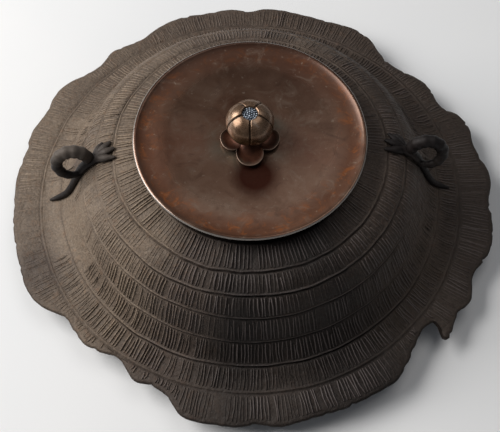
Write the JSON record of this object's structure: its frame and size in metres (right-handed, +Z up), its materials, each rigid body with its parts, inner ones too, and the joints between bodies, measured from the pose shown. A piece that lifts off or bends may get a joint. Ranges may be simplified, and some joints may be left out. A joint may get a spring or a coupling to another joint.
{
  "type": "tea ceremony kettle",
  "caption": "Low cast iron tea ceremony kettle with a ragged overhanging brim, ring lugs, a dished bronze lid that lifts off and a flower-bud knob that turns.",
  "frame": {"origin": "centre of the flat bottom that the kettle stands on", "axes": "+Z up along the axis of the mouth, -Y to the front, +X to the right lug"},
  "size_m": [0.3023, 0.2983, 0.104],
  "materials": {
    "cast_iron": "matte",
    "lacquer": "matte",
    "bronze_lid": "satin",
    "bronze_knob": "polished",
    "silver": "satin"
  },
  "bodies": {
    "kettle": {"kettle_body": "cast_iron", "kettle_base": "cast_iron", "left_lug": "cast_iron", "right_lug": "cast_iron", "sounding_plate_1": "cast_iron", "sounding_plate_2": "cast_iron", "sounding_plate_3": "cast_iron", "sounding_plate_4": "cast_iron", "sounding_plate_5": "cast_iron", "base_seam": "lacquer", "sounding_lacquer": "lacquer"},
    "lid": {"lid": "bronze_lid", "knob_seat": "bronze_knob", "stem_washer": "bronze_knob"},
    "knob": {"knob_bud": "bronze_knob", "knob_stem": "bronze_knob", "stamen_inlay": "silver"}
  },
  "joints": [
    {"name": "lid_lift", "type": "slide", "parent": "kettle", "child": "lid", "axis": [0, 0, 1], "range_m": [0, 0.08]},
    {"name": "knob_turn", "type": "hinge", "parent": "lid", "child": "knob", "pos_m": [0, 0, 0.084], "axis": [0, 0, 1], "continuous": true}
  ]
}
